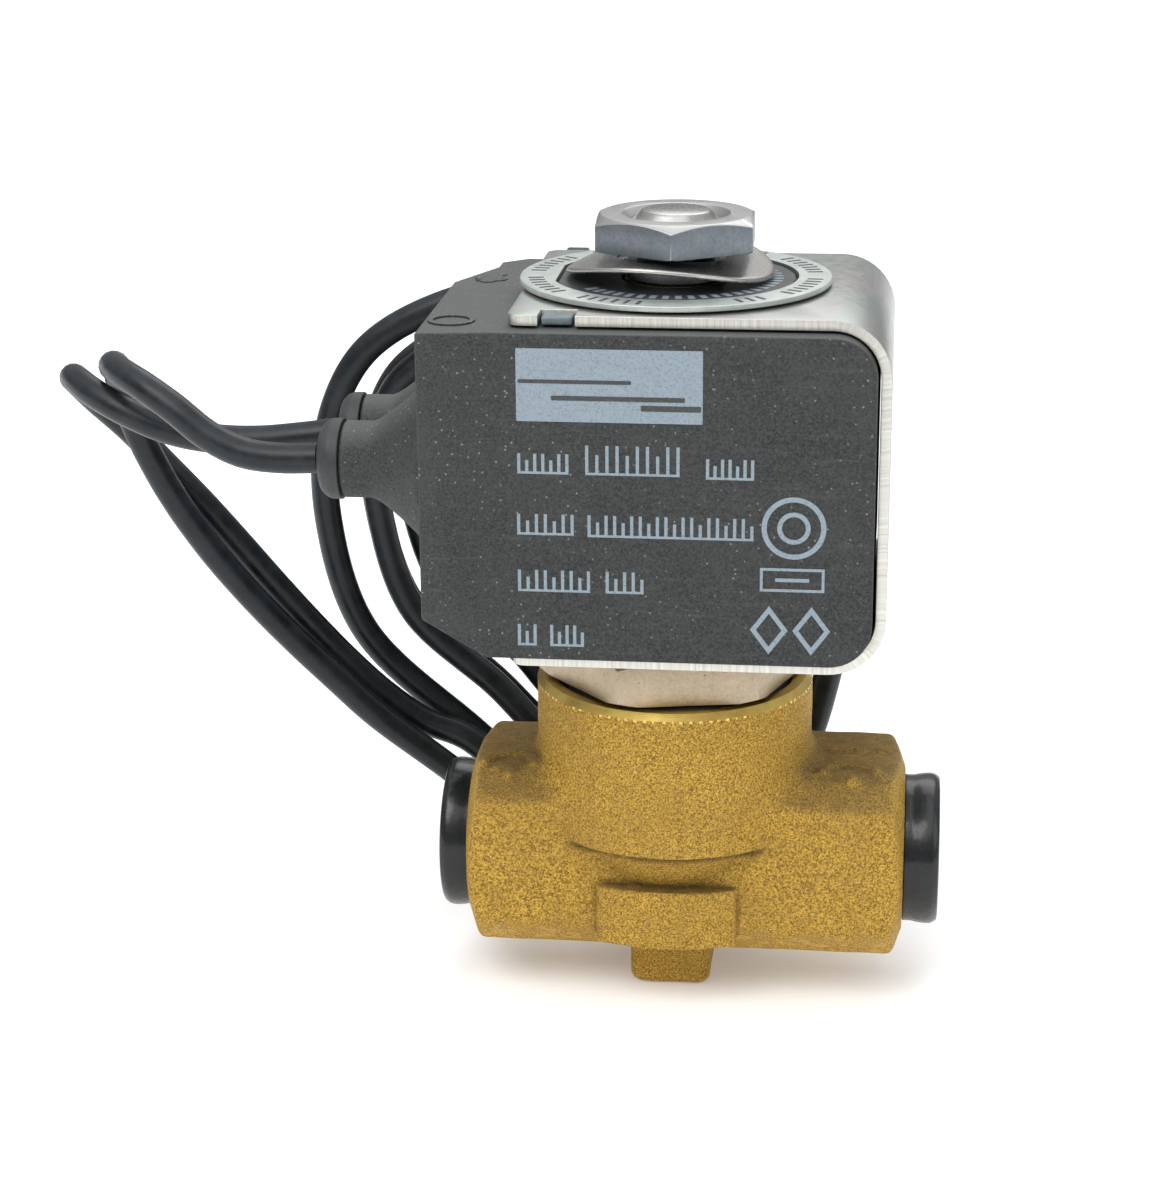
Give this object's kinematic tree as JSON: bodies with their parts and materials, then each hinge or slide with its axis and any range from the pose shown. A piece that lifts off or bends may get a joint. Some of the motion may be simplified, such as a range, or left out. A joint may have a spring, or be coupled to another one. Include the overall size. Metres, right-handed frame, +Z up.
{
  "type": "solenoid valve",
  "caption": "Small direct-acting solenoid valve: forged brass two-port body, screwed-in guide tube with a sprung plunger, and a nut-held coil in a steel yoke with flying leads.",
  "frame": {"origin": "on the plunger axis, on the underside of the body's foot", "axes": "+Z up along the plunger axis, towards the clamp nut; X along the two ports, with the coil's lead outlets towards -X; -Y is the coil's printed face"},
  "size_m": [0.1035, 0.0572, 0.09],
  "materials": {
    "forged_brass": "sand-blasted forging with bright machined rims",
    "seal_rubber": "plain black nitrile",
    "plug_plastic": "glossy black",
    "nickelled_steel": "matt, slightly yellow plating",
    "core_steel": "turned stainless",
    "copper": "bare copper",
    "spring_steel": "drawn wire",
    "coil_plastic": "fine grain, lightly dusty",
    "inner_plastic": "plain",
    "zinc_sheet": "zinc plated, faintly iridescent, sheared edges",
    "key_plastic": "dark blue-grey",
    "cap_plastic": "satin black",
    "lead_sheath": "satin black insulation",
    "tinned_copper": "tinned strands",
    "tie_plastic": "nylon",
    "nameplate_foil": "satin, printed with plain tick marks",
    "disc_plastic": "satin dark grey",
    "zinc_spring": "bright zinc",
    "zinc_nut": "zinc, slightly dulled"
  },
  "bodies": {
    "valve": {"valve_body": "forged_brass", "body_seal": "seal_rubber", "enclosing_tube": "nickelled_steel", "fixed_core": "core_steel", "shading_ring": "copper"},
    "plunger_assembly": {"plunger": "core_steel", "plunger_seal": "seal_rubber", "return_spring": "spring_steel"},
    "coil_assembly": {"coil_housing": "coil_plastic", "bobbin": "inner_plastic", "winding": "copper", "yoke": "zinc_sheet", "yoke_key": "key_plastic", "lower_coil_seal": "seal_rubber", "upper_coil_seal": "seal_rubber", "front_lead_crimp": "copper", "rear_lead_crimp": "copper", "front_outlet_cap": "cap_plastic", "rear_outlet_cap": "cap_plastic", "front_lead": "lead_sheath", "rear_lead": "lead_sheath", "front_lead_end": "tinned_copper", "rear_lead_end": "tinned_copper", "lead_tie": "tie_plastic", "nameplate_ring": "nameplate_foil", "top_disc": "disc_plastic"},
    "washer": {"spring_washer": "zinc_spring"},
    "nut": {"clamp_nut": "zinc_nut"},
    "left_plug": {"left_port_plug": "plug_plastic"},
    "right_plug": {"right_port_plug": "plug_plastic"}
  },
  "joints": [
    {"name": "plunger_lift", "type": "slide", "parent": "valve", "child": "plunger_assembly", "axis": [0, 0, 1], "range_m": [0, 0.0014], "stiffness_N_per_m": 400, "springref_m": -0.004, "deforming": ["return_spring"]},
    {"name": "coil_swivel", "type": "hinge", "parent": "valve", "child": "coil_assembly", "pos_m": [0, 0, 0.0431], "axis": [0, 0, 1], "range_deg": [-20, 10]},
    {"name": "nut_travel", "type": "slide", "parent": "valve", "child": "washer", "axis": [0, 0, 1], "range_m": [0, 0.001]},
    {"name": "nut_turn", "type": "hinge", "parent": "washer", "child": "nut", "pos_m": [0, 0, 0.0878], "axis": [0, 0, 1], "range_deg": [0, 360]},
    {"name": "left_plug_pull", "type": "slide", "parent": "valve", "child": "left_plug", "axis": [-1, 0, 0], "range_m": [0, 0.014]},
    {"name": "right_plug_pull", "type": "slide", "parent": "valve", "child": "right_plug", "axis": [1, 0, 0], "range_m": [0, 0.014]}
  ],
  "couplings": [
    {"joint": "nut_turn", "follows": "nut_travel", "rad_per_m": 6283.2}
  ]
}
